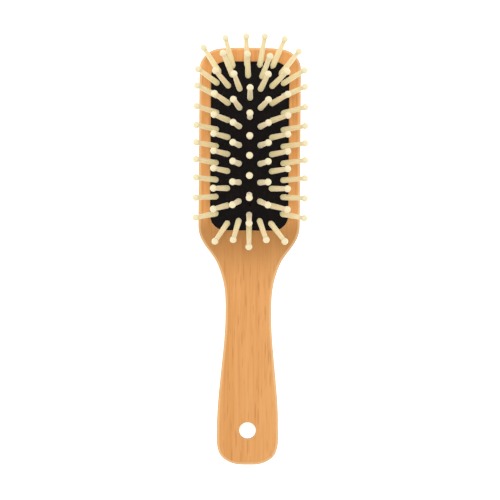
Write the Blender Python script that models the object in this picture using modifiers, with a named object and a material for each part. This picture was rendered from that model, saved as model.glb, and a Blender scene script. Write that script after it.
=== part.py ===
"""A wooden paddle brush with an air cushion and wooden pins.

Metres, +Z up. The brush lies on its flat back with the pins up, +Y towards the head's end and
X across it. The origin is on the back face, straight under the middle of the cushion.
"""

import math

import bmesh
import bpy
from mathutils import Vector

# Wooden body.
BODY_THICKNESS = 0.0130
EDGE_RADIUS = 0.0020
HEAD_HALF_WIDTH = 0.0268
HEAD_END_Y = 0.0520
NECK_HALF_WIDTH = 0.0121
HANDLE_HALF_WIDTH = 0.0162
HANDLE_END_Y = -0.1680
HANG_HOLE_Y = -0.1500
HANG_HOLE_RADIUS = 0.0044
HANG_HOLE_CHAMFER = 0.0005

# Recess behind the cushion, with the groove that holds the cushion's flange.
OPENING_HALF_WIDTH = 0.0206
OPENING_HALF_LENGTH = 0.0445
OPENING_CORNER_RADIUS = 0.0080
OPENING_CHAMFER = 0.0004
CHAMBER_FLOOR_Z = 0.0050
GROOVE_BOTTOM_Z = BODY_THICKNESS - 0.0036
GROOVE_TOP_Z = BODY_THICKNESS - 0.0018
GROOVE_DEPTH = 0.0022
GAP = 0.0003

# Rubber cushion: a dome over the opening, a skirt down its wall and a flange in the groove.
DOME_HEIGHT = 0.0084
DOME_SIDE_POWER = 2.2
DOME_END_POWER = 4.8
RIM_Z = BODY_THICKNESS - 0.0005
RUBBER_THICKNESS = 0.0015
SKIRT_THICKNESS = 0.0013
DOME_LOOPS = (0.2, 0.4, 0.56, 0.7, 0.81, 0.89, 0.95)
AIR_HOLE_RADIUS = 0.0008
AIR_HOLE_Y = -0.0310

# Turned pins. Heights run along a pin's axis from the outer skin of the cushion.
BALL_RADIUS = 0.0018
BALL_HEIGHT = 0.0200
SHAFT_TOP_RADIUS = 0.00115
SHAFT_FOOT_RADIUS = 0.00155
SHAFT_FOOT_HEIGHT = 0.0014
WAIST_RADIUS = 0.0011
WAIST_TOP_HEIGHT = 0.0005
ROOT_RADIUS = 0.00175
ROOT_DEPTH = 0.0039
ROOT_LENGTH = 0.0034
PIN_SIDES = 10
PIN_HOLE_SIDES = 8

# The pins lean outwards: the slope of a pin at the rim, and the power it grows with.
SIDE_SPLAY = 0.90
SIDE_SPLAY_POWER = 1.1
HEAD_END_SPLAY = 0.95
HANDLE_END_SPLAY = 0.45
HEAD_END_SPLAY_POWER = 2.2
HANDLE_END_SPLAY_POWER = 3.0
END_SPLAY_LOST_AT_SIDE = 0.4

# The rows at both ends lean further out. The lean sets in between these distances from the middle.
END_LEAN = 0.36
END_LEAN_STARTS = 0.0355
END_LEAN_FULL = 0.0388

# The side columns lean a little to the right and towards the head's end as well. The headward
# lean fades between these distances on the handle's side of the middle.
RIGHTWARD_LEAN = 0.05
HEADWARD_LEAN = 0.12
HEADWARD_LEAN_FADES = (0.012, 0.028)
HEADWARD_LEAN_LOST = 0.8

# Pin columns on both sides of the middle: x, then y of the first, second and last pin and count.
# From the second pin on, the pins are evenly spaced.
SIDE_COLUMNS = {
    "outer": (0.0169, 0.0327, 0.0260, -0.0356, 9),
    "middle": (0.0111, 0.0310, 0.0221, -0.0402, 9),
    "inner": (0.0053, 0.0294, 0.0197, -0.0388, 8),
}
CENTRE_COLUMN = (0.0249, 0.0150, -0.0359, 7)
LAST_CENTRE_Y = -0.0414
TOP_ROW = (
    (-0.0162, 0.0385),
    (-0.0090, 0.0414),
    (-0.0017, 0.0418),
    (0.0049, 0.0419),
    (0.0116, 0.0416),
    (0.0159, 0.0378),
)

# Half of the pins of the two inner columns, and a short row of three behind the top row, are left
# out, because a part holds 60 objects at most.
INNER_ROWS_KEPT = (0, 2, 5, 7)

# Levels of the dome, as parts of its height. The pins on one level sink together.
LEVELS = (0.20, 0.32, 0.44, 0.62, 0.73, 0.85, 0.97)

MATERIALS = {
    "wood": ((0.79, 0.38, 0.13, 1.0), 0.5),
    "pin_wood": ((0.83, 0.74, 0.43, 1.0), 0.55),
    "rubber": ((0.012, 0.010, 0.009, 1.0), 0.75),
}


def clear_scene():
    for obj in list(bpy.data.objects):
        bpy.data.objects.remove(obj, do_unlink=True)


def new_collection(name):
    collection = bpy.data.collections.new(name)
    bpy.context.scene.collection.children.link(collection)
    return collection


def new_material(name, colour, roughness):
    material = bpy.data.materials.new(name)
    material.use_nodes = True
    shader = material.node_tree.nodes["Principled BSDF"]
    shader.inputs["Base Color"].default_value = colour
    shader.inputs["Roughness"].default_value = roughness
    return material


def new_object(name, mesh, collection, material=None):
    obj = bpy.data.objects.new(name, mesh)
    collection.objects.link(obj)
    if material:
        obj.data.materials.append(material)
    return obj


def make_cutter(obj):
    obj.hide_render = True
    obj.display_type = "WIRE"


def cut(obj, cutter, name):
    modifier = obj.modifiers.new(name, "BOOLEAN")
    modifier.operation = "DIFFERENCE"
    modifier.solver = "EXACT"
    modifier.object = cutter


def shade(mesh):
    mesh.shade_smooth()
    mesh.set_sharp_from_angle(angle=math.radians(35))


def turned(obj, sides):
    """Spins the object's profile, which runs down its outer side, round the object's Z axis."""
    screw = obj.modifiers.new("turn", "SCREW")
    screw.steps = sides
    screw.render_steps = sides
    screw.use_merge_vertices = True
    screw.merge_threshold = 0.00001
    screw.use_smooth_shade = True


def profile_mesh(name, points):
    """A line of (radius, height) points in the XZ plane."""
    mesh = bpy.data.meshes.new(name)
    edges = [(i, i + 1) for i in range(len(points) - 1)]
    mesh.from_pydata([(radius, 0.0, height) for radius, height in points], edges, [])
    return mesh


# Outline of the wooden body.


def body_outline():
    """Right half of the outline, from the head's end to the handle's: x, y and heading in degrees."""
    neck_y = -0.088
    return (
        (0.0, HEAD_END_Y, 0),
        (0.0165, HEAD_END_Y - 0.0007, -7),
        (0.0235, HEAD_END_Y - 0.0040, -44),
        (HEAD_HALF_WIDTH, HEAD_END_Y - 0.0115, -90),
        (HEAD_HALF_WIDTH, -0.0415, -90),
        (0.0247, -0.0500, -119),
        (0.0181, -0.0594, -123),
        (0.0144, -0.0680, -108),
        (NECK_HALF_WIDTH, neck_y, -90),
        (0.0140, neck_y - 0.0285, -84.5),
        (HANDLE_HALF_WIDTH, HANDLE_END_Y + 0.0190, -90),
        (0.0150, HANDLE_END_Y + 0.0065, -112),
        (0.0095, HANDLE_END_Y + 0.0014, -155),
        (0.0, HANDLE_END_Y, -180),
    )


def closed_outline():
    """Both halves as one loop of (point, heading)."""
    right = [(Vector((x, y)), math.radians(angle)) for x, y, angle in body_outline()]
    left = [(Vector((-p.x, p.y)), -angle) for p, angle in right[1:-1]]
    return right + left[::-1]


def body_curve():
    """A flat Bezier outline, thickened and rounded along both edges."""
    handle_share = 0.36
    curve = bpy.data.curves.new("brush_body", "CURVE")
    curve.dimensions = "2D"
    curve.fill_mode = "BOTH"
    curve.resolution_u = 8
    curve.extrude = BODY_THICKNESS / 2 - EDGE_RADIUS
    curve.bevel_depth = EDGE_RADIUS
    curve.bevel_resolution = 3
    curve.offset = -EDGE_RADIUS
    outline = closed_outline()
    spline = curve.splines.new("BEZIER")
    spline.bezier_points.add(len(outline) - 1)
    spline.use_cyclic_u = True
    for i, (point, angle) in enumerate(outline):
        before = (point - outline[i - 1][0]).length * handle_share
        after = (point - outline[(i + 1) % len(outline)][0]).length * handle_share
        direction = Vector((math.cos(angle), math.sin(angle)))
        knot = spline.bezier_points[i]
        knot.handle_left_type = "FREE"
        knot.handle_right_type = "FREE"
        knot.co = (*point, 0)
        knot.handle_left = (*(point - direction * before), 0)
        knot.handle_right = (*(point + direction * after), 0)
    return curve


def meshed(curve_object, collection, material):
    """The curve object as a closed mesh object of the same name. The curve object is removed."""
    graph = bpy.context.evaluated_depsgraph_get()
    mesh = bpy.data.meshes.new_from_object(curve_object.evaluated_get(graph))
    shape = bmesh.new()
    shape.from_mesh(mesh)
    bmesh.ops.remove_doubles(shape, verts=shape.verts, dist=1e-6)
    bmesh.ops.recalc_face_normals(shape, faces=shape.faces)
    shape.to_mesh(mesh)
    shape.free()
    name = curve_object.name
    place = curve_object.matrix_world.copy()
    bpy.data.objects.remove(curve_object, do_unlink=True)
    obj = new_object(name, mesh, collection, material)
    obj.matrix_world = place
    return obj


# Rounded rectangles, from which the recess and the cushion are lofted.


def rounded_rectangle(offset):
    """The opening's outline moved outwards by offset, anticlockwise, as (x, y) points."""
    corner_steps = 6
    side_steps = {0: 6, 1: 3, 2: 6, 3: 3}
    radius = OPENING_CORNER_RADIUS + offset
    straight_x = OPENING_HALF_WIDTH - OPENING_CORNER_RADIUS
    straight_y = OPENING_HALF_LENGTH - OPENING_CORNER_RADIUS
    centres = (
        Vector((straight_x, straight_y)),
        Vector((-straight_x, straight_y)),
        Vector((-straight_x, -straight_y)),
        Vector((straight_x, -straight_y)),
    )
    points = []
    for corner, centre in enumerate(centres):
        before = centres[corner - 1] + radius * heading(corner)
        start = centre + radius * heading(corner)
        steps = side_steps[corner]
        points += [before.lerp(start, step / steps) for step in range(1, steps)]
        for step in range(corner_steps + 1):
            points.append(centre + radius * heading(corner + step / corner_steps))
    return points


def heading(quarter_turns):
    angle = quarter_turns * math.pi / 2
    return Vector((math.cos(angle), math.sin(angle)))


def loft(name, loops, top, bottom):
    """A closed mesh through loops of the same number of points, from the top one down. The ends
    are closed on a point, or flat where the point is None."""
    shape = bmesh.new()
    rings = [[shape.verts.new(point) for point in loop] for loop in loops]
    count = len(rings[0])
    for upper, lower in zip(rings, rings[1:]):
        for i in range(count):
            j = (i + 1) % count
            shape.faces.new((upper[i], lower[i], lower[j], upper[j]))
    for ring, point in ((rings[0], top), (rings[-1], bottom)):
        if point is None:
            shape.faces.new(ring)
            continue
        middle = shape.verts.new(point)
        for i in range(count):
            shape.faces.new((ring[i], ring[(i + 1) % count], middle))
    bmesh.ops.recalc_face_normals(shape, faces=shape.faces)
    mesh = bpy.data.meshes.new(name)
    shape.to_mesh(mesh)
    shape.free()
    return mesh


def level_loop(offset, z):
    return [(p.x, p.y, z) for p in rounded_rectangle(offset)]


def recess_cutter(collection):
    above = BODY_THICKNESS + 0.001
    flare = OPENING_CHAMFER + 0.001
    sections = (
        (flare, above),
        (0.0, BODY_THICKNESS - OPENING_CHAMFER),
        (0.0, GROOVE_TOP_Z),
        (GROOVE_DEPTH, GROOVE_TOP_Z),
        (GROOVE_DEPTH, GROOVE_BOTTOM_Z),
        (0.0, GROOVE_BOTTOM_Z),
        (0.0, CHAMBER_FLOOR_Z),
    )
    loops = [level_loop(offset, z) for offset, z in sections]
    cutter = new_object("recess_cutter", loft("recess_cutter", loops, None, None), collection)
    make_cutter(cutter)
    return cutter


def hang_hole_cutter(collection):
    """A cylinder that flares out through both faces, which leaves a chamfer on each."""
    beyond = 0.001
    wide = HANG_HOLE_RADIUS + HANG_HOLE_CHAMFER + beyond
    profile = (
        (0.0, BODY_THICKNESS + beyond),
        (wide, BODY_THICKNESS + beyond),
        (HANG_HOLE_RADIUS, BODY_THICKNESS - HANG_HOLE_CHAMFER),
        (HANG_HOLE_RADIUS, HANG_HOLE_CHAMFER),
        (wide, -beyond),
        (0.0, -beyond),
    )
    cutter = new_object("hang_hole_cutter", profile_mesh("hang_hole_cutter", profile), collection)
    cutter.location = (0, HANG_HOLE_Y, 0)
    turned(cutter, 32)
    make_cutter(cutter)
    return cutter


def make_body(parts, cutters, material):
    curve_object = new_object("brush_body", body_curve(), parts)
    curve_object.location = (0, 0, BODY_THICKNESS / 2)
    bpy.context.view_layer.update()
    body = meshed(curve_object, parts, material)
    shade(body.data)
    cut(body, recess_cutter(cutters), "recess")
    cut(body, hang_hole_cutter(cutters), "hang_hole")
    return body


# The cushion.


def dome_share(x, y):
    """Height of the dome above its rim at a point, as a part of its full height."""
    across = min(abs(x) / (OPENING_HALF_WIDTH - GAP), 1)
    along = min(abs(y) / (OPENING_HALF_LENGTH - GAP), 1)
    return (1 - across**DOME_SIDE_POWER) * (1 - along**DOME_END_POWER)


def skin_loop(share, offset, drop):
    """The rounded rectangle, shrunk towards the middle, laid on the dome and lowered by drop."""
    loop = []
    for p in rounded_rectangle(offset):
        x, y = p * share
        loop.append((x, y, RIM_Z - drop + DOME_HEIGHT * dome_share(x, y)))
    return loop


def cushion_mesh():
    flange_top = GROOVE_TOP_Z - GAP
    flange_bottom = GROOVE_BOTTOM_Z + GAP
    wall = -GAP
    inside = wall - SKIRT_THICKNESS
    loops = [skin_loop(share, wall, 0) for share in DOME_LOOPS]
    loops.append(level_loop(wall, RIM_Z))
    loops.append(level_loop(wall, flange_top))
    loops.append(level_loop(GROOVE_DEPTH - GAP, flange_top))
    loops.append(level_loop(GROOVE_DEPTH - GAP, flange_bottom))
    loops.append(level_loop(inside, flange_bottom))
    loops.append(skin_loop(1, inside, RUBBER_THICKNESS))
    loops += [skin_loop(share, inside, RUBBER_THICKNESS) for share in DOME_LOOPS[::-1]]
    apex = RIM_Z + DOME_HEIGHT
    return loft("cushion", loops, (0, 0, apex), (0, 0, apex - RUBBER_THICKNESS))


def hole_cutter(name, radius, sides, collection):
    """A plain rod that reaches through the rubber, with its middle on the outer skin."""
    reach = 0.0045
    profile = ((0.0, reach), (radius, reach), (radius, -reach), (0.0, -reach))
    cutter = new_object(name, profile_mesh(name, profile), collection)
    turned(cutter, sides)
    make_cutter(cutter)
    return cutter


def joined_cutter(cutters, name, collection):
    """One mesh from cutters that don't touch, so that a single Boolean cuts them all."""
    graph = bpy.context.evaluated_depsgraph_get()
    shape = bmesh.new()
    for cutter in cutters:
        mesh = bpy.data.meshes.new_from_object(cutter.evaluated_get(graph))
        mesh.transform(cutter.matrix_world)
        shape.from_mesh(mesh)
        bpy.data.meshes.remove(mesh)
        bpy.data.objects.remove(cutter, do_unlink=True)
    mesh = bpy.data.meshes.new(name)
    shape.to_mesh(mesh)
    shape.free()
    joined = new_object(name, mesh, collection)
    make_cutter(joined)
    return joined


def make_cushion(parts, cutters, material, places):
    cushion = new_object("cushion", cushion_mesh(), parts, material)
    shade(cushion.data)
    rods = []
    for x, y in places:
        rod = hole_cutter("pin_hole_cutter", WAIST_RADIUS + GAP, PIN_HOLE_SIDES, cutters)
        set_on_dome(rod, x, y)
        rods.append(rod)
    air_hole = hole_cutter("air_hole_cutter", AIR_HOLE_RADIUS, PIN_HOLE_SIDES, cutters)
    air_hole.location = (0, AIR_HOLE_Y, RIM_Z + DOME_HEIGHT * dome_share(0, AIR_HOLE_Y))
    rods.append(air_hole)
    bpy.context.view_layer.update()
    cut(cushion, joined_cutter(rods, "cushion_holes_cutter", cutters), "pin_holes")
    return cushion


# The pins.


def column_rows(first_y, second_y, last_y, count):
    step = (last_y - second_y) / (count - 2)
    return [first_y] + [second_y + step * row for row in range(count - 1)]


def pin_places():
    """(name, x, y) of every pin, where its axis meets the outer skin of the cushion."""
    places = []
    for i, (x, y) in enumerate(TOP_ROW):
        places.append((f"pin_top_{i + 1}", x, y))
    for column, (x, *rows) in SIDE_COLUMNS.items():
        for i, y in enumerate(column_rows(*rows)):
            if column == "inner" and i not in INNER_ROWS_KEPT:
                continue
            places.append((f"pin_{column}_left_{i + 1}", -x, y))
            places.append((f"pin_{column}_right_{i + 1}", x, y))
    for i, y in enumerate([*column_rows(*CENTRE_COLUMN), LAST_CENTRE_Y]):
        places.append((f"pin_centre_{i + 1}", 0.0, y))
    return places


def smooth_step(value, start, end):
    share = min(max((value - start) / (end - start), 0), 1)
    return share * share * (3 - 2 * share)


def pin_direction(x, y):
    across = abs(x) / OPENING_HALF_WIDTH
    along = abs(y) / OPENING_HALF_LENGTH
    sideways = SIDE_SPLAY * across**SIDE_SPLAY_POWER
    if y > 0:
        endways = HEAD_END_SPLAY * along**HEAD_END_SPLAY_POWER
    else:
        endways = HANDLE_END_SPLAY * along**HANDLE_END_SPLAY_POWER
    endways *= 1 - END_SPLAY_LOST_AT_SIDE * across**2
    endways += END_LEAN * smooth_step(abs(y), END_LEAN_STARTS, END_LEAN_FULL)
    slope_x = math.copysign(sideways, x) + RIGHTWARD_LEAN * math.sqrt(across)
    headward = HEADWARD_LEAN * (1 - HEADWARD_LEAN_LOST * smooth_step(-y, *HEADWARD_LEAN_FADES))
    slope_y = math.copysign(endways, y) + headward * math.sqrt(across)
    return Vector((slope_x, slope_y, 1)).normalized()


def set_on_dome(obj, x, y):
    obj.location = (x, y, RIM_Z + DOME_HEIGHT * dome_share(x, y))
    obj.rotation_mode = "QUATERNION"
    obj.rotation_quaternion = Vector((0, 0, 1)).rotation_difference(pin_direction(x, y))


def pin_profile():
    """Ball, tapered shaft, waist in the rubber and root under it, from the top down."""
    profile = [(0.0, BALL_HEIGHT + BALL_RADIUS)]
    for angle in (45, 0, -45):
        turn = math.radians(angle)
        height = BALL_HEIGHT + BALL_RADIUS * math.sin(turn)
        profile.append((BALL_RADIUS * math.cos(turn), height))
    profile += [
        (SHAFT_TOP_RADIUS, BALL_HEIGHT - BALL_RADIUS),
        (SHAFT_FOOT_RADIUS, SHAFT_FOOT_HEIGHT),
        (WAIST_RADIUS, WAIST_TOP_HEIGHT),
        (WAIST_RADIUS, -ROOT_DEPTH + ROOT_LENGTH / 2 - 0.0001),
        (ROOT_RADIUS, -ROOT_DEPTH + ROOT_LENGTH / 5),
        (ROOT_RADIUS, -ROOT_DEPTH - ROOT_LENGTH / 5),
        (0.0, -ROOT_DEPTH - ROOT_LENGTH / 2),
    ]
    return profile


def level_of(x, y):
    share = dome_share(x, y)
    return min(range(len(LEVELS)), key=lambda i: abs(LEVELS[i] - share))


def make_slides(parts):
    """One empty for each level of pins, on the line that the level slides along."""
    slides = []
    for i in range(len(LEVELS)):
        empty = bpy.data.objects.new(f"level_{i + 1}_slide", None)
        empty.empty_display_size = 0.005
        parts.objects.link(empty)
        slides.append(empty)
    return slides


def make_pins(parts, material, places):
    mesh = profile_mesh("pin", pin_profile())
    mesh.materials.append(material)
    slides = make_slides(parts)
    for name, x, y in places:
        pin = new_object(name, mesh, parts)
        turned(pin, PIN_SIDES)
        set_on_dome(pin, x, y)
        pin.parent = slides[level_of(x, y)]


def main():
    clear_scene()
    parts = new_collection("paddle_brush")
    cutters = new_collection("cutters")
    materials = {
        name: new_material(name, colour, roughness)
        for name, (colour, roughness) in MATERIALS.items()
    }
    places = pin_places()
    make_body(parts, cutters, materials["wood"])
    make_cushion(parts, cutters, materials["rubber"], [(x, y) for _, x, y in places])
    make_pins(parts, materials["pin_wood"], places)


main()
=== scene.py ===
"""The looks of a wooden paddle brush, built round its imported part.

Metres, in the part's own frame: the brush lies on its back with the pins up, +Y towards the
head's end and X across it. The sizes that the part has as well are repeated here.
"""

import math
import random

import bmesh
import bpy
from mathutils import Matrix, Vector, geometry


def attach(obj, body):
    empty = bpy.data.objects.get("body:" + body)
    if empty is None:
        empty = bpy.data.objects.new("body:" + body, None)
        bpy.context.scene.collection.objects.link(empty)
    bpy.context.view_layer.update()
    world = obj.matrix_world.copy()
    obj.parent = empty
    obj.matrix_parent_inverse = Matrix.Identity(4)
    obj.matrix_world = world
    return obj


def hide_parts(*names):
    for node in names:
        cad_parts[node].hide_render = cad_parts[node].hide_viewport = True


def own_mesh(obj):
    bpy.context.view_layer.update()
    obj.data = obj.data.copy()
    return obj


# Wooden body.
BODY_THICKNESS = 0.0130
EDGE_RADIUS = 0.0020
HEAD_HALF_WIDTH = 0.0268
HEAD_END_Y = 0.0520
NECK_HALF_WIDTH = 0.0121
HANDLE_HALF_WIDTH = 0.0162
HANDLE_END_Y = -0.1680
HANG_HOLE_Y = -0.1500
HANG_HOLE_RADIUS = 0.0044
HANG_HOLE_CHAMFER = 0.0005
HANG_HOLE_SIDES = 64
OUTLINE_STEPS = 24
EDGE_STEPS = 8

# The wood is darker between the cushion and the handle: painted shade below the cushion. The
# painted shade fades in both directions between these places along Y, from none to full.
PAINTED_SHADE_FROM_HANDLE = (-0.078, -0.044)
PAINTED_SHADE_FROM_HEAD = (-0.036, -0.046)

# Recess behind the cushion, with the groove that holds its flange.
OPENING_HALF_WIDTH = 0.0206
OPENING_HALF_LENGTH = 0.0445
OPENING_CORNER_RADIUS = 0.0080
OPENING_CHAMFER = 0.0004
OPENING_CORNER_STEPS = 16
OPENING_SIDE_STEPS = (28, 12, 28, 12)
CHAMBER_FLOOR_Z = 0.0050
GROOVE_BOTTOM_Z = BODY_THICKNESS - 0.0036
GROOVE_TOP_Z = BODY_THICKNESS - 0.0018
GROOVE_DEPTH = 0.0022

# Rubber cushion.
GAP = 0.0003
TIGHT_GAP = 0.0001
DOME_HEIGHT = 0.0084
DOME_SIDE_POWER = 2.2
DOME_END_POWER = 4.8
RIM_Z = BODY_THICKNESS - 0.0005
RUBBER_THICKNESS = 0.0015
SKIRT_THICKNESS = 0.0013
SKIRT_TOP_Z = RIM_Z - 0.0012
AIR_HOLE_RADIUS = 0.0008
AIR_HOLE_RINGS = (0.0012, 0.0018)
AIR_HOLE_Y = -0.0310

# The lip of rubber round a pin: distance from the pin's axis and height above the dome.
LIP = (
    (0.00112, 0.00022),
    (0.00122, 0.00037),
    (0.00140, 0.00044),
    (0.00160, 0.00039),
    (0.00182, 0.00022),
    (0.00206, 0.00007),
    (0.00236, 0.0),
)
HOLE_SIDES = 26
RIM_INSETS = (0.00025, 0.0006, 0.0010, 0.0015)
SKIN_SPACING = 0.0009
CLEAR_OF_PIN = 0.0026
CLEAR_OF_RIM = 0.0019
LEAST_INSET = 0.0003

# Turned pins. Heights run along a pin's axis from the outer skin of the cushion.
BALL_RADIUS = 0.0018
BALL_HEIGHT = 0.0200
SHAFT_TOP_RADIUS = 0.00115
SHAFT_FOOT_RADIUS = 0.00155
SHAFT_FOOT_HEIGHT = 0.0014
WAIST_RADIUS = 0.0011
WAIST_TOP_HEIGHT = 0.0005
ROOT_RADIUS = 0.00175
ROOT_DEPTH = 0.0039
ROOT_LENGTH = 0.0034
PIN_SIDES = 28
TONE_SEED = 7

# The pins lean outwards: the slope of a pin at the rim, and the power it grows with.
SIDE_SPLAY = 0.90
SIDE_SPLAY_POWER = 1.1
HEAD_END_SPLAY = 0.95
HANDLE_END_SPLAY = 0.45
HEAD_END_SPLAY_POWER = 2.2
HANDLE_END_SPLAY_POWER = 3.0
END_SPLAY_LOST_AT_SIDE = 0.4

# The rows at both ends lean further out. The lean sets in between these distances from the middle.
END_LEAN = 0.36
END_LEAN_STARTS = 0.0355
END_LEAN_FULL = 0.0388

# The side columns lean a little to the right and towards the head's end as well. The headward
# lean fades between these distances on the handle's side of the middle.
RIGHTWARD_LEAN = 0.05
HEADWARD_LEAN = 0.12
HEADWARD_LEAN_FADES = (0.012, 0.028)
HEADWARD_LEAN_LOST = 0.8

# Pin columns on both sides of the middle: x, then y of the first, second and last pin and count.
# From the second pin on, the pins are evenly spaced.
SIDE_COLUMNS = {
    "outer": (0.0169, 0.0327, 0.0260, -0.0356, 9),
    "middle": (0.0111, 0.0310, 0.0221, -0.0402, 9),
    "inner": (0.0053, 0.0294, 0.0197, -0.0388, 8),
}
CENTRE_COLUMN = (0.0249, 0.0150, -0.0359, 7)
LAST_CENTRE_Y = -0.0414
TOP_ROW = (
    (-0.0162, 0.0385),
    (-0.0090, 0.0414),
    (-0.0017, 0.0418),
    (0.0049, 0.0419),
    (0.0116, 0.0416),
    (0.0159, 0.0378),
)
SECOND_ROW = (
    (-0.0091, 0.0366),
    (-0.0011, 0.0363),
    (0.0060, 0.0359),
)

# Levels of the dome, as parts of its height. The pins on one level sink together.
LEVELS = (0.20, 0.32, 0.44, 0.62, 0.73, 0.85, 0.97)

# Studio.
CAMERA_POSITION = (0.0006, -0.0548, 3.013)
CAMERA_ROLL = math.radians(0.45)
CAMERA_LENS = 409.9
KEY_LIGHT_POSITION = (-0.05, 0.18, 1.00)
KEY_LIGHT_TARGET = (0, -0.03, 0)
KEY_LIGHT_SIZE = 0.60
KEY_LIGHT_POWER = 3.2
SKY_STRENGTH = 0.82
FLOOR_GLOW = 0.78
FLOOR_Z = -0.0001
FLOOR_REACH = 6.0


# Meshes.


def new_object(name, mesh, material=None):
    obj = bpy.data.objects.new(name, mesh)
    bpy.context.scene.collection.objects.link(obj)
    if material:
        obj.data.materials.append(material)
    return obj


def mesh_from(name, points, faces):
    """A mesh with its face normals turned outwards."""
    mesh = bpy.data.meshes.new(name)
    mesh.from_pydata(points, [], faces)
    shape = bmesh.new()
    shape.from_mesh(mesh)
    bmesh.ops.remove_doubles(shape, verts=shape.verts, dist=1e-7)
    bmesh.ops.recalc_face_normals(shape, faces=shape.faces)
    shape.to_mesh(mesh)
    shape.free()
    return mesh


def shade(mesh, sharp_angle):
    mesh.shade_smooth()
    mesh.set_sharp_from_angle(angle=math.radians(sharp_angle))


def final_mesh(obj):
    """The object's mesh with its modifiers applied, or the mesh that its curve makes."""
    bpy.context.view_layer.update()
    graph = bpy.context.evaluated_depsgraph_get()
    return bpy.data.meshes.new_from_object(obj.evaluated_get(graph))


def turned_mesh(name, profile, sides):
    """A closed lathe shape from (radius, height) points, from its top on the axis to its foot."""
    points = [(0.0, 0.0, profile[0][1])]
    for radius, height in profile[1:-1]:
        for side in range(sides):
            angle = 2 * math.pi * side / sides
            points.append((radius * math.cos(angle), radius * math.sin(angle), height))
    points.append((0.0, 0.0, profile[-1][1]))
    last = len(points) - 1
    faces = []
    for side in range(sides):
        after = (side + 1) % sides
        faces.append((0, 1 + side, 1 + after))
        faces.append((last, last - sides + after, last - sides + side))
        for ring in range(len(profile) - 3):
            upper = 1 + ring * sides
            lower = upper + sides
            faces.append((upper + side, lower + side, lower + after, upper + after))
    return mesh_from(name, points, faces)


def heading(quarter_turns):
    angle = quarter_turns * math.pi / 2
    return Vector((math.cos(angle), math.sin(angle)))


def rounded_rectangle(offset):
    """The opening's outline moved outwards by offset, anticlockwise, as (x, y) points."""
    radius = OPENING_CORNER_RADIUS + offset
    straight_x = OPENING_HALF_WIDTH - OPENING_CORNER_RADIUS
    straight_y = OPENING_HALF_LENGTH - OPENING_CORNER_RADIUS
    centres = (
        Vector((straight_x, straight_y)),
        Vector((-straight_x, straight_y)),
        Vector((-straight_x, -straight_y)),
        Vector((straight_x, -straight_y)),
    )
    points = []
    for corner, centre in enumerate(centres):
        before = centres[corner - 1] + radius * heading(corner)
        start = centre + radius * heading(corner)
        steps = OPENING_SIDE_STEPS[corner]
        points += [before.lerp(start, step / steps) for step in range(1, steps)]
        for step in range(OPENING_CORNER_STEPS + 1):
            points.append(centre + radius * heading(corner + step / OPENING_CORNER_STEPS))
    return points


def inset(x, y):
    """How far a point is inside the outline of the opening."""
    beyond_x = abs(x) - (OPENING_HALF_WIDTH - OPENING_CORNER_RADIUS)
    beyond_y = abs(y) - (OPENING_HALF_LENGTH - OPENING_CORNER_RADIUS)
    outside = math.hypot(max(beyond_x, 0), max(beyond_y, 0))
    return OPENING_CORNER_RADIUS - outside - min(max(beyond_x, beyond_y), 0)


def lofted_mesh(name, sections, closed_ring=False):
    """A mesh through level rounded rectangles, given as (offset, z). Its ends are flat faces, or
    with closed_ring the last section joins the first."""
    loops = [[(p.x, p.y, z) for p in rounded_rectangle(offset)] for offset, z in sections]
    count = len(loops[0])
    points = [point for loop in loops for point in loop]
    faces = []
    for section in range(len(loops) if closed_ring else len(loops) - 1):
        upper = section * count
        lower = (section + 1) % len(loops) * count
        for i in range(count):
            j = (i + 1) % count
            faces.append((upper + i, lower + i, lower + j, upper + j))
    if not closed_ring:
        faces.append(tuple(range(count)))
        faces.append(tuple(range(len(points) - count, len(points))))
    return mesh_from(name, points, faces)


# Shader nodes.


def feed(tree, socket, value):
    """Links value to the socket if it is a socket itself, and otherwise sets it."""
    if isinstance(value, bpy.types.NodeSocket):
        tree.links.new(value, socket)
    else:
        socket.default_value = value


def add_node(tree, kind, inputs, **settings):
    node = tree.nodes.new("ShaderNode" + kind)
    for name, value in settings.items():
        setattr(node, name, value)
    for name, value in inputs.items():
        feed(tree, node.inputs[name], value)
    return node


def mixed(tree, factor, first, second):
    """A colour between two others."""
    node = tree.nodes.new("ShaderNodeMix")
    node.data_type = "RGBA"
    for socket, value in ((0, factor), (6, first), (7, second)):
        feed(tree, node.inputs[socket], value)
    return node.outputs[2]


def math_of(tree, operation, first, second=0.0):
    node = tree.nodes.new("ShaderNodeMath")
    node.operation = operation
    feed(tree, node.inputs[0], first)
    feed(tree, node.inputs[1], second)
    return node.outputs[0]


def ranged(tree, value, low, high, new_low=0.0, new_high=1.0):
    """The value, clamped to low and high and stretched from new_low to new_high."""
    inputs = {
        "Value": value,
        "From Min": low,
        "From Max": high,
        "To Min": new_low,
        "To Max": new_high,
    }
    return add_node(tree, "MapRange", inputs, interpolation_type="SMOOTHSTEP").outputs["Result"]


def stretched(tree, place, scale):
    return add_node(tree, "Mapping", {"Vector": place, "Scale": scale}).outputs["Vector"]


def noise(tree, place, size, detail=2.0, roughness=0.5, distortion=0.0):
    """Smooth noise whose features are about that size in metres."""
    inputs = {
        "Vector": place,
        "Scale": 1 / size,
        "Detail": detail,
        "Roughness": roughness,
        "Distortion": distortion,
    }
    return add_node(tree, "TexNoise", inputs).outputs["Fac"]


def new_material(name, **constants):
    """A material with its shader, whose constant inputs are set, and the object's own space."""
    material = bpy.data.materials.new(name)
    material.use_nodes = True
    tree = material.node_tree
    shader = tree.nodes["Principled BSDF"]
    for socket, value in constants.items():
        shader.inputs[socket.replace("_", " ")].default_value = value
    place = tree.nodes.new("ShaderNodeTexCoord").outputs["Object"]
    return material, tree, shader, place


def bump(tree, shader, height, depth, strength):
    """Raises the surface by height, a value from 0 to 1, times the depth in metres."""
    inputs = {"Height": height, "Distance": depth, "Strength": strength}
    node = add_node(tree, "Bump", inputs)
    tree.links.new(node.outputs["Normal"], shader.inputs["Normal"])


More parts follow.
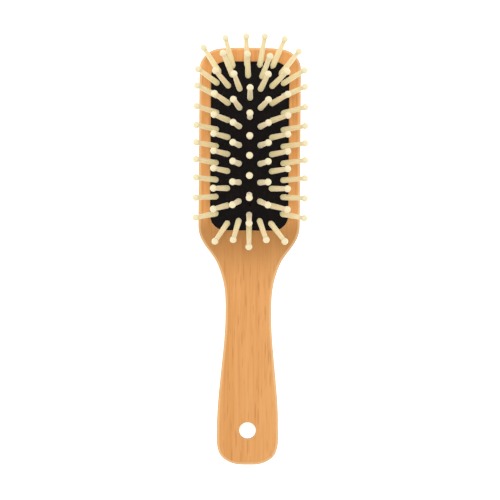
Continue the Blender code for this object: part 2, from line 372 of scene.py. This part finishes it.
def dashes(tree, place, width, length, share):
    """Short dark vessel lines along Y, as a mask. Share is the part of the cells that have one."""
    cell = width * 2.4
    cells = stretched(tree, place, (1, width / length, 1))
    voronoi = add_node(tree, "TexVoronoi", {"Vector": cells, "Scale": 1 / cell})
    inside = ranged(tree, voronoi.outputs["Distance"], 0.16, 0.30, 1.0, 0.0)
    chosen = add_node(tree, "SeparateColor", {"Color": voronoi.outputs["Color"]})
    kept = math_of(tree, "LESS_THAN", chosen.outputs["Red"], share)
    return math_of(tree, "MULTIPLY", inside, kept)


def body_wood():
    """Oiled and sanded beech: straight fine grain and short dark vessel lines."""
    material, tree, shader, place = new_material("beech", Specular_IOR_Level=0.3)
    fibres = noise(tree, stretched(tree, place, (1, 0.030, 1)), 0.0010, 3.0, 0.6)
    bands = noise(tree, stretched(tree, place, (1, 0.035, 1)), 0.0055, 2.0, 0.5, 0.3)
    clouds = noise(tree, stretched(tree, place, (1, 0.3, 1)), 0.030, 1.0)
    long_dashes = dashes(tree, place, 0.00070, 0.0080, 0.60)
    short_dashes = dashes(tree, place, 0.00045, 0.0050, 0.60)

    light = (0.76, 0.355, 0.105, 1)
    middle = (0.71, 0.315, 0.084, 1)
    dark = (0.45, 0.160, 0.035, 1)
    golden = (0.80, 0.40, 0.14, 1)
    colour = mixed(tree, ranged(tree, bands, 0.36, 0.66), light, middle)
    colour = mixed(tree, ranged(tree, fibres, 0.46, 0.64, 0.0, 0.24), colour, dark)
    colour = mixed(tree, ranged(tree, clouds, 0.35, 0.70, 0.0, 0.18), colour, golden)
    colour = mixed(tree, math_of(tree, "MULTIPLY", long_dashes, 0.40), colour, dark)
    colour = mixed(tree, math_of(tree, "MULTIPLY", short_dashes, 0.32), colour, dark)

    # Painted shade on the wood below the cushion, where the pins and the dome shade it.
    painted_shade = (0.40, 0.175, 0.036, 1)
    along = add_node(tree, "SeparateXYZ", {"Vector": place}).outputs["Y"]
    from_handle = ranged(tree, along, *PAINTED_SHADE_FROM_HANDLE, 0.0, 0.75)
    from_head = ranged(tree, along, *PAINTED_SHADE_FROM_HEAD)
    colour = mixed(tree, math_of(tree, "MULTIPLY", from_handle, from_head), colour, painted_shade)

    # The rounded edges are paler, wear and painted highlight; the steep sides have painted shade.
    rubbed_and_highlight = (0.86, 0.58, 0.30, 1)
    painted_side_shade = (0.42, 0.230, 0.100, 1)
    normal = tree.nodes["Texture Coordinate"].outputs["Normal"]
    upward = add_node(tree, "SeparateXYZ", {"Vector": normal}).outputs["Z"]
    facing = math_of(tree, "ABSOLUTE", upward)
    colour = mixed(tree, ranged(tree, facing, 0.99, 0.85, 0.0, 0.50), colour, rubbed_and_highlight)
    colour = mixed(tree, ranged(tree, facing, 0.80, 0.45, 0.0, 0.45), colour, painted_side_shade)
    tree.links.new(colour, shader.inputs["Base Color"])

    roughness = ranged(tree, fibres, 0.3, 0.7, 0.42, 0.58)
    tree.links.new(roughness, shader.inputs["Roughness"])
    relief = math_of(tree, "SUBTRACT", math_of(tree, "MULTIPLY", fibres, 0.5), long_dashes)
    bump(tree, shader, relief, 0.00006, 0.6)
    return material


def pin_wood():
    """Pale turned wood. The attribute tone makes each pin a little paler or warmer."""
    material, tree, shader, place = new_material("pin_wood", Sheen_Weight=0.75, Sheen_Roughness=0.3)
    tone = add_node(tree, "Attribute", {}, attribute_name="tone").outputs["Fac"]
    shift = add_node(tree, "CombineXYZ", {"X": tone, "Y": tone}).outputs["Vector"]
    moved = add_node(tree, "VectorMath", {0: place, 1: shift}, operation="ADD").outputs["Vector"]
    fibres = noise(tree, stretched(tree, moved, (1, 1, 0.05)), 0.0006, 3.0, 0.6)
    height = add_node(tree, "SeparateXYZ", {"Vector": place}).outputs["Z"]

    pale = (0.90, 0.81, 0.52, 1)
    warm = (0.87, 0.70, 0.38, 1)
    peach = (0.94, 0.73, 0.44, 1)
    foot = (0.98, 0.90, 0.56, 1)
    ball = (0.78, 0.71, 0.47, 1)
    colour = mixed(tree, ranged(tree, fibres, 0.35, 0.70, 0.0, 0.60), pale, warm)
    colour = mixed(tree, ranged(tree, tone, 0.0, 1.0, 0.0, 0.60), colour, peach)
    # Paler towards the foot: painted light against the shade that the black rubber leaves on the
    # shafts.
    colour = mixed(tree, ranged(tree, height, 0.014, 0.002, 0.0, 0.75), colour, foot)
    # Darker on the ball: painted shade against the light that falls on its top.
    colour = mixed(tree, ranged(tree, height, 0.0178, 0.0192, 0.0, 0.6), colour, ball)
    tree.links.new(colour, shader.inputs["Base Color"])
    tree.links.new(ranged(tree, fibres, 0.3, 0.7, 0.40, 0.55), shader.inputs["Roughness"])
    bump(tree, shader, fibres, 0.00003, 0.5)
    return material


def black_rubber():
    """Moulded rubber with a fine dull skin and a trace of dust."""
    material, tree, shader, place = new_material("black_rubber", Specular_IOR_Level=0.10)
    skin = noise(tree, place, 0.00022, 3.0, 0.6)
    dust = noise(tree, place, 0.0060, 4.0, 0.6)
    black = (0.0045, 0.0030, 0.0036, 1)
    dusty = (0.0090, 0.0062, 0.0070, 1)
    colour = mixed(tree, ranged(tree, dust, 0.45, 0.75), black, dusty)
    tree.links.new(colour, shader.inputs["Base Color"])
    tree.links.new(ranged(tree, dust, 0.35, 0.70, 0.62, 0.78), shader.inputs["Roughness"])
    bump(tree, shader, skin, 0.00003, 0.6)
    return material


# Wooden body.


def body_outline():
    """Right half of the outline, from the head's end to the handle's: x, y and heading in degrees."""
    neck_y = -0.088
    return (
        (0.0, HEAD_END_Y, 0),
        (0.0165, HEAD_END_Y - 0.0007, -7),
        (0.0235, HEAD_END_Y - 0.0040, -44),
        (HEAD_HALF_WIDTH, HEAD_END_Y - 0.0115, -90),
        (HEAD_HALF_WIDTH, -0.0415, -90),
        (0.0247, -0.0500, -119),
        (0.0181, -0.0594, -123),
        (0.0144, -0.0680, -108),
        (NECK_HALF_WIDTH, neck_y, -90),
        (0.0140, neck_y - 0.0285, -84.5),
        (HANDLE_HALF_WIDTH, HANDLE_END_Y + 0.0190, -90),
        (0.0150, HANDLE_END_Y + 0.0065, -112),
        (0.0095, HANDLE_END_Y + 0.0014, -155),
        (0.0, HANDLE_END_Y, -180),
    )


def body_curve():
    """A flat Bezier outline, thickened and rounded along both edges."""
    handle_share = 0.36
    curve = bpy.data.curves.new("wood_outline", "CURVE")
    curve.dimensions = "2D"
    curve.fill_mode = "BOTH"
    curve.resolution_u = OUTLINE_STEPS
    curve.extrude = BODY_THICKNESS / 2 - EDGE_RADIUS
    curve.bevel_depth = EDGE_RADIUS
    curve.bevel_resolution = EDGE_STEPS
    curve.offset = -EDGE_RADIUS
    right = [(Vector((x, y)), math.radians(angle)) for x, y, angle in body_outline()]
    left = [(Vector((-point.x, point.y)), -angle) for point, angle in right[1:-1]]
    outline = right + left[::-1]
    spline = curve.splines.new("BEZIER")
    spline.bezier_points.add(len(outline) - 1)
    spline.use_cyclic_u = True
    for i, (point, angle) in enumerate(outline):
        before = (point - outline[i - 1][0]).length * handle_share
        after = (point - outline[(i + 1) % len(outline)][0]).length * handle_share
        direction = Vector((math.cos(angle), math.sin(angle)))
        knot = spline.bezier_points[i]
        knot.handle_left_type = "FREE"
        knot.handle_right_type = "FREE"
        knot.co = (*point, 0)
        knot.handle_left = (*(point - direction * before), 0)
        knot.handle_right = (*(point + direction * after), 0)
    return curve


def recess_mesh():
    flare = OPENING_CHAMFER + 0.001
    sections = (
        (flare, BODY_THICKNESS + 0.001),
        (0.0, BODY_THICKNESS - OPENING_CHAMFER),
        (0.0, GROOVE_TOP_Z),
        (GROOVE_DEPTH, GROOVE_TOP_Z),
        (GROOVE_DEPTH, GROOVE_BOTTOM_Z),
        (0.0, GROOVE_BOTTOM_Z),
        (0.0, CHAMBER_FLOOR_Z),
    )
    return lofted_mesh("recess", sections)


def hang_hole_mesh():
    """A cylinder that flares out through both faces, which leaves a chamfer on each."""
    beyond = 0.001
    wide = HANG_HOLE_RADIUS + HANG_HOLE_CHAMFER + beyond
    profile = (
        (0.0, BODY_THICKNESS + beyond),
        (wide, BODY_THICKNESS + beyond),
        (HANG_HOLE_RADIUS, BODY_THICKNESS - HANG_HOLE_CHAMFER),
        (HANG_HOLE_RADIUS, HANG_HOLE_CHAMFER),
        (wide, -beyond),
        (0.0, -beyond),
    )
    return turned_mesh("hang_hole", profile, HANG_HOLE_SIDES)


def cut(obj, mesh, place):
    """Takes the solid mesh, moved to place, out of the object for good."""
    cutter = new_object("cutter", mesh)
    cutter.location = place
    modifier = obj.modifiers.new("cut", "BOOLEAN")
    modifier.operation = "DIFFERENCE"
    modifier.solver = "EXACT"
    modifier.object = cutter
    obj.data = final_mesh(obj)
    obj.modifiers.clear()
    bpy.data.objects.remove(cutter, do_unlink=True)


def make_body(material):
    outline = new_object("wood_outline", body_curve())
    outline.location = (0, 0, BODY_THICKNESS / 2)
    mesh = final_mesh(outline)
    mesh.transform(outline.matrix_world)
    bpy.data.objects.remove(outline, do_unlink=True)
    shape = bmesh.new()
    shape.from_mesh(mesh)
    bmesh.ops.remove_doubles(shape, verts=shape.verts, dist=1e-6)
    bmesh.ops.recalc_face_normals(shape, faces=shape.faces)
    shape.to_mesh(mesh)
    shape.free()
    body = new_object("wood_body", mesh, material)
    cut(body, recess_mesh(), (0, 0, 0))
    cut(body, hang_hole_mesh(), (0, HANG_HOLE_Y, 0))
    shade(body.data, 35)
    flat = body.modifiers.new("flat_faces", "WEIGHTED_NORMAL")
    flat.keep_sharp = True
    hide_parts("brush_body")
    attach(body, "brush")


# Cushion.


def dome_share(x, y):
    """Height of the dome above its rim at a point, as a part of its full height."""
    across = min(abs(x) / (OPENING_HALF_WIDTH - GAP), 1)
    along = min(abs(y) / (OPENING_HALF_LENGTH - GAP), 1)
    return (1 - across**DOME_SIDE_POWER) * (1 - along**DOME_END_POWER)


def on_dome(x, y):
    return Vector((x, y, RIM_Z + DOME_HEIGHT * dome_share(x, y)))


def dome_normal(x, y):
    step = 0.0001
    slope_x = (dome_share(x + step, y) - dome_share(x - step, y)) / (2 * step)
    slope_y = (dome_share(x, y + step) - dome_share(x, y - step)) / (2 * step)
    return Vector((-DOME_HEIGHT * slope_x, -DOME_HEIGHT * slope_y, 1)).normalized()


def ring_round(foot, direction, radius):
    """Points round a line through the foot, on the dome, as (x, y) pairs."""
    side = direction.orthogonal().normalized()
    other = direction.cross(side)
    ring = []
    for i in range(HOLE_SIDES):
        angle = 2 * math.pi * i / HOLE_SIDES
        point = foot + radius * (math.cos(angle) * side + math.sin(angle) * other)
        ring.append((point.x, point.y))
    return ring


class Skin:
    """The cushion's rubber: its outer and inner points, and the loops round its open edges."""

    def __init__(self):
        self.outer = []
        self.inner = []
        self.loops = []

    def add(self, x, y, lift=Vector()):
        base = on_dome(x, y)
        self.outer.append(base + lift)
        self.inner.append(base - RUBBER_THICKNESS * dome_normal(x, y))

    def add_loop(self, places, lift=Vector()):
        """Adds points as one edge of the rubber."""
        first = len(self.outer)
        for x, y in places:
            self.add(x, y, lift)
        self.loops.append(range(first, len(self.outer)))

    def mesh(self, name):
        """Triangles on both sides, but for those inside a hole, and a wall along each edge."""
        edges = [(loop[i - 1], loop[i]) for loop in self.loops for i in range(len(loop))]
        plan = [point.xy for point in self.outer]
        triangles = geometry.delaunay_2d_cdt(plan, edges, [], 0, 1e-7)[2]
        holes = {i: number for number, loop in enumerate(self.loops[1:]) for i in loop}
        count = len(self.outer)
        faces = []
        for triangle in triangles:
            in_hole = holes.get(triangle[0]) is not None
            if in_hole and len({holes.get(i) for i in triangle}) == 1:
                continue
            faces.append(tuple(triangle))
            faces.append(tuple(i + count for i in reversed(triangle)))
        faces += [(a, b, b + count, a + count) for a, b in edges]
        return mesh_from(name, self.outer + self.inner, faces)


def free_places(pins):
    """Places for the plain skin: loops along the rim and a staggered grid, both clear of pins."""
    places = []
    for distance in RIM_INSETS:
        places += [tuple(p) for p in rounded_rectangle(-TIGHT_GAP - distance)]
    row_height = SKIN_SPACING * math.sqrt(3) / 2
    rows = int(OPENING_HALF_LENGTH / row_height)
    columns = int(OPENING_HALF_WIDTH / SKIN_SPACING)
    for row in range(-rows, rows + 1):
        for column in range(-columns, columns + 1):
            x = (column + row % 2 / 2) * SKIN_SPACING
            y = row * row_height
            if inset(x, y) > CLEAR_OF_RIM:
                places.append((x, y))
    feet = [(x, y) for _, x, y in pins] + [(0, AIR_HOLE_Y)]
    return [p for p in places if min(math.dist(p, foot) for foot in feet) > CLEAR_OF_PIN]


def make_dome(material, pins):
    skin = Skin()
    skin.add_loop([tuple(p) for p in rounded_rectangle(-TIGHT_GAP)])
    for point in skin.outer:
        point.z = RIM_Z
    upright = Vector((0, 0, 1))
    air_hole = on_dome(0, AIR_HOLE_Y)
    skin.add_loop(ring_round(air_hole, upright, AIR_HOLE_RADIUS))
    for radius in AIR_HOLE_RINGS:
        for x, y in ring_round(air_hole, upright, radius):
            skin.add(x, y)
    for _, x, y in pins:
        foot = on_dome(x, y)
        direction = pin_direction(x, y)
        skin.add_loop(ring_round(foot, direction, LIP[0][0]), LIP[0][1] * direction)
        for radius, height in LIP[1:]:
            for place in ring_round(foot, direction, radius):
                if inset(*place) > LEAST_INSET:
                    skin.add(*place, height * direction)
    for place in free_places(pins):
        skin.add(*place)
    mesh = skin.mesh("cushion_dome")
    shade(mesh, 50)
    dome = new_object("cushion_dome", mesh, material)
    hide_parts("cushion")
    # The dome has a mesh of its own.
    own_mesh(dome)
    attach(dome, "brush")


def make_flange(material):
    """The skirt and the flange that hold the dome in the groove, out of sight."""
    outer = -TIGHT_GAP
    inner = -GAP - SKIRT_THICKNESS
    sections = (
        (outer, SKIRT_TOP_Z),
        (outer, GROOVE_TOP_Z - GAP),
        (GROOVE_DEPTH - GAP, GROOVE_TOP_Z - GAP),
        (GROOVE_DEPTH - GAP, GROOVE_BOTTOM_Z + GAP),
        (inner, GROOVE_BOTTOM_Z + GAP),
        (inner, SKIRT_TOP_Z),
    )
    mesh = lofted_mesh("cushion_flange", sections, closed_ring=True)
    shade(mesh, 35)
    flange = new_object("cushion_flange", mesh, material)
    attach(flange, "brush")


# Pins.


def column_rows(first_y, second_y, last_y, count):
    step = (last_y - second_y) / (count - 2)
    return [first_y] + [second_y + step * row for row in range(count - 1)]


def pin_places():
    """(name, x, y) of every pin, where its axis meets the outer skin of the cushion."""
    places = []
    for i, (x, y) in enumerate(TOP_ROW):
        places.append((f"top_{i + 1}", x, y))
    for i, (x, y) in enumerate(SECOND_ROW):
        places.append((f"second_{i + 1}", x, y))
    for column, (x, *rows) in SIDE_COLUMNS.items():
        for i, y in enumerate(column_rows(*rows)):
            places.append((f"{column}_left_{i + 1}", -x, y))
            places.append((f"{column}_right_{i + 1}", x, y))
    for i, y in enumerate([*column_rows(*CENTRE_COLUMN), LAST_CENTRE_Y]):
        places.append((f"centre_{i + 1}", 0.0, y))
    return places


def smooth_step(value, start, end):
    share = min(max((value - start) / (end - start), 0), 1)
    return share * share * (3 - 2 * share)


def pin_direction(x, y):
    across = abs(x) / OPENING_HALF_WIDTH
    along = abs(y) / OPENING_HALF_LENGTH
    sideways = SIDE_SPLAY * across**SIDE_SPLAY_POWER
    if y > 0:
        endways = HEAD_END_SPLAY * along**HEAD_END_SPLAY_POWER
    else:
        endways = HANDLE_END_SPLAY * along**HANDLE_END_SPLAY_POWER
    endways *= 1 - END_SPLAY_LOST_AT_SIDE * across**2
    endways += END_LEAN * smooth_step(abs(y), END_LEAN_STARTS, END_LEAN_FULL)
    slope_x = math.copysign(sideways, x) + RIGHTWARD_LEAN * math.sqrt(across)
    headward = HEADWARD_LEAN * (1 - HEADWARD_LEAN_LOST * smooth_step(-y, *HEADWARD_LEAN_FADES))
    slope_y = math.copysign(endways, y) + headward * math.sqrt(across)
    return Vector((slope_x, slope_y, 1)).normalized()


def arc(centre, radii, start, end, steps):
    """(radius, height) points on an ellipse in a profile. Angles are in degrees from outwards."""
    points = []
    for step in range(steps + 1):
        angle = math.radians(start + (end - start) * step / steps)
        x = centre[0] + radii[0] * math.cos(angle)
        points.append((x, centre[1] + radii[1] * math.sin(angle)))
    return points


def pin_profile():
    """Ball, tapered shaft, waist in the rubber and root under it, from the top down."""
    neck = BALL_HEIGHT - BALL_RADIUS
    foot = SHAFT_FOOT_RADIUS - WAIST_RADIUS, SHAFT_FOOT_HEIGHT - WAIST_TOP_HEIGHT
    profile = [(0.0, BALL_HEIGHT + BALL_RADIUS)]
    profile += arc((0, BALL_HEIGHT), (BALL_RADIUS, BALL_RADIUS), 82, -38, 16)
    # A small hollow between the ball and the shaft.
    profile.append((SHAFT_TOP_RADIUS + 0.00009, neck + 0.00030))
    steps = 6
    for step in range(steps + 1):
        share = step / steps
        radius = SHAFT_TOP_RADIUS + (SHAFT_FOOT_RADIUS - SHAFT_TOP_RADIUS) * share**0.8
        profile.append((radius, neck + (SHAFT_FOOT_HEIGHT - neck) * share))
    profile += arc((WAIST_RADIUS, SHAFT_FOOT_HEIGHT), foot, -15, -90, 5)
    profile.append((WAIST_RADIUS, -ROOT_DEPTH + ROOT_LENGTH / 2))
    profile += arc((0, -ROOT_DEPTH), (ROOT_RADIUS, ROOT_LENGTH / 2), 51, -80, 8)
    profile.append((0.0, -ROOT_DEPTH - ROOT_LENGTH / 2))
    return profile


def level_of(x, y):
    """Number of the level that a pin sinks with, from 1 up."""
    share = dome_share(x, y)
    return 1 + min(range(len(LEVELS)), key=lambda i: abs(LEVELS[i] - share))


def make_pins(material, pins, nodes):
    draw = random.Random(TONE_SEED)
    shape = turned_mesh("pin", pin_profile(), PIN_SIDES)
    shade(shape, 60)
    shape.materials.append(material)
    for name, x, y in pins:
        mesh = shape.copy()
        tone = mesh.attributes.new("tone", "FLOAT", "POINT")
        tone.data.foreach_set("value", [draw.random()] * len(mesh.vertices))
        pin = new_object(f"turned_pin_{name}", mesh)
        pin.location = on_dome(x, y)
        pin.rotation_mode = "QUATERNION"
        pin.rotation_quaternion = Vector((0, 0, 1)).rotation_difference(pin_direction(x, y))
        # A few pins are in this model only, because a part holds sixty solids at most.
        if f"pin_{name}" in nodes:
            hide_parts(f"pin_{name}")
        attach(pin, f"pins_level_{level_of(x, y)}")


# Studio.


def make_floor():
    material, tree, shader, place = new_material(
        "light_table",
        Roughness=0.9,
        Specular_IOR_Level=0.2,
        Emission_Color=(1.0, 1.0, 1.0, 1),
        Emission_Strength=FLOOR_GLOW,
    )
    tooth = noise(tree, place, 0.0015, 2.0)
    colour = mixed(tree, tooth, (0.93, 0.93, 0.93, 1), (0.95, 0.95, 0.95, 1))
    tree.links.new(colour, shader.inputs["Base Color"])
    corners = ((-1, -1), (1, -1), (1, 1), (-1, 1))
    points = [(FLOOR_REACH * x, FLOOR_REACH * y, FLOOR_Z) for x, y in corners]
    mesh = bpy.data.meshes.new("floor")
    mesh.from_pydata(points, [], [(0, 1, 2, 3)])
    new_object("floor", mesh, material)


def make_lights():
    world = bpy.data.worlds.new("sky")
    world.use_nodes = True
    background = world.node_tree.nodes["Background"]
    background.inputs["Color"].default_value = (1.0, 1.0, 1.0, 1)
    background.inputs["Strength"].default_value = SKY_STRENGTH
    bpy.context.scene.world = world
    light = bpy.data.lights.new("key", "AREA")
    light.shape = "DISK"
    light.size = KEY_LIGHT_SIZE
    light.energy = KEY_LIGHT_POWER
    key = bpy.data.objects.new("key", light)
    key.location = KEY_LIGHT_POSITION
    towards = Vector(KEY_LIGHT_TARGET) - key.location
    key.rotation_euler = towards.to_track_quat("-Z", "Y").to_euler()
    key.visible_camera = False
    bpy.context.scene.collection.objects.link(key)


def make_camera():
    """Straight above the brush with a long lens, so that upright pins are seen end on."""
    camera = bpy.data.objects.new("camera", bpy.data.cameras.new("camera"))
    camera.location = CAMERA_POSITION
    camera.rotation_euler = (0, 0, CAMERA_ROLL)
    camera.data.lens = CAMERA_LENS
    bpy.context.scene.collection.objects.link(camera)
    bpy.context.scene.camera = camera


def make_brush(nodes):
    pins = pin_places()
    rubber = black_rubber()
    make_body(body_wood())
    make_dome(rubber, pins)
    make_flange(rubber)
    make_pins(pin_wood(), pins, nodes)


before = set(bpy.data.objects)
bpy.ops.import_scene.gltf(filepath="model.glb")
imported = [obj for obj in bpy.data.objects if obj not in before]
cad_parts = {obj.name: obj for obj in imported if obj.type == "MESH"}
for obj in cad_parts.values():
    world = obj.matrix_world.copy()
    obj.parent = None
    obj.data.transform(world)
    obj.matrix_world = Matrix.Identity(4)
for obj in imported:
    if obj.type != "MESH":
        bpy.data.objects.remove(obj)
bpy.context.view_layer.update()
make_brush(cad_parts)
make_floor()
make_lights()
make_camera()
bpy.context.scene.view_settings.view_transform = "Standard"
